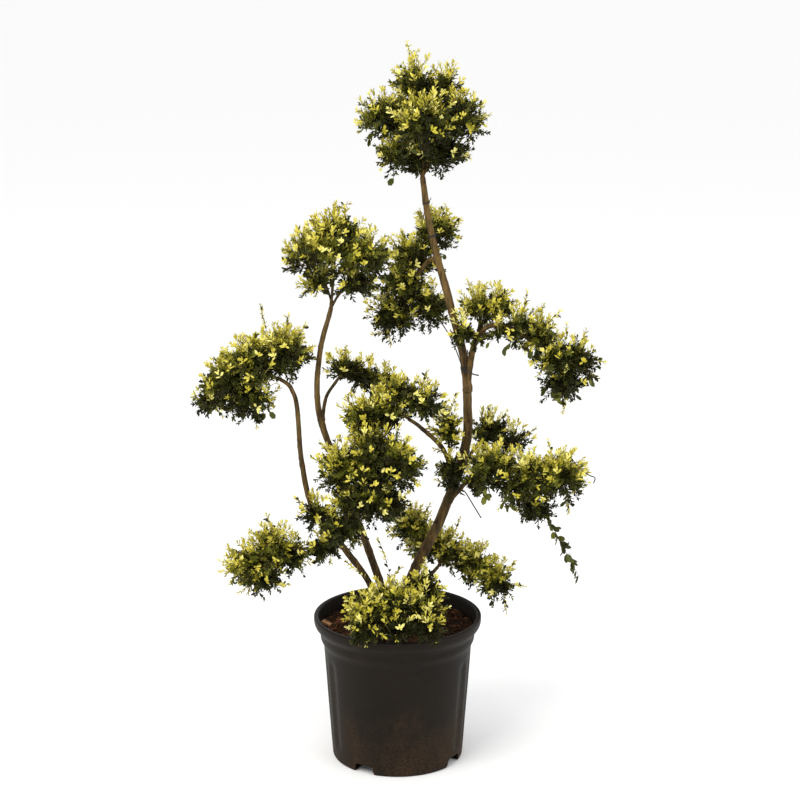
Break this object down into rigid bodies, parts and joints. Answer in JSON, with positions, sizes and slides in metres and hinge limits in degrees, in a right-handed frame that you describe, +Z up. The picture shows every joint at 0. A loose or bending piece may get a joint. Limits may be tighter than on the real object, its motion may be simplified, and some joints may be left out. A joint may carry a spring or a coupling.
{
  "type": "potted japanese holly bonsai",
  "caption": "Cloud-pruned Japanese holly on leaning stems with clipped clouds of small evergreen leaves, standing in a round fluted plastic nursery pot full of potting soil.",
  "frame": {"origin": "centre of the pot's flat underside", "axes": "+Z up along the pot's axis, -Y towards the plant's front, +X to its right as seen from the front"},
  "size_m": [0.7882, 0.3837, 1.4154],
  "materials": {
    "pot_plastic": "dull dark brown-black moulded plastic with pale scuffs and dried soil",
    "soil": "dark moist potting soil with red-brown bark chips",
    "bark": "smooth olive-brown young bark with fine ridges",
    "foliage": "small glossy evergreen leaves, dark green within and yellow-green on the new shoots"
  },
  "bodies": {
    "root": {"centre_bough": "bark", "centre_column": "foliage", "centre_low_bough": "bark", "centre_upper": "foliage", "front_foot": "foliage", "front_foot_bough": "bark", "high_back": "foliage", "high_back_bough": "bark", "left_arch": "foliage", "left_arch_bough": "bark", "left_ball": "foliage", "left_foot": "foliage", "left_foot_bough": "bark", "left_low_tuft": "foliage", "left_stem": "bark", "left_stem_tuft": "foliage", "middle_stem": "bark", "pot": "pot_plastic", "right_arch_inner": "foliage", "right_arch_mid": "foliage", "right_arch_rise": "bark", "right_arch_span": "bark", "right_arch_tip": "foliage", "right_back_bough": "bark", "right_foot": "foliage", "right_foot_bough": "bark", "right_low": "foliage", "right_low_back": "foliage", "right_low_bough": "bark", "shelf": "foliage", "shelf_bough": "bark", "soil": "soil", "top_ball": "foliage", "trunk": "bark", "trunk_low_tuft": "foliage", "trunk_tuft": "foliage"}
  },
  "joints": []
}
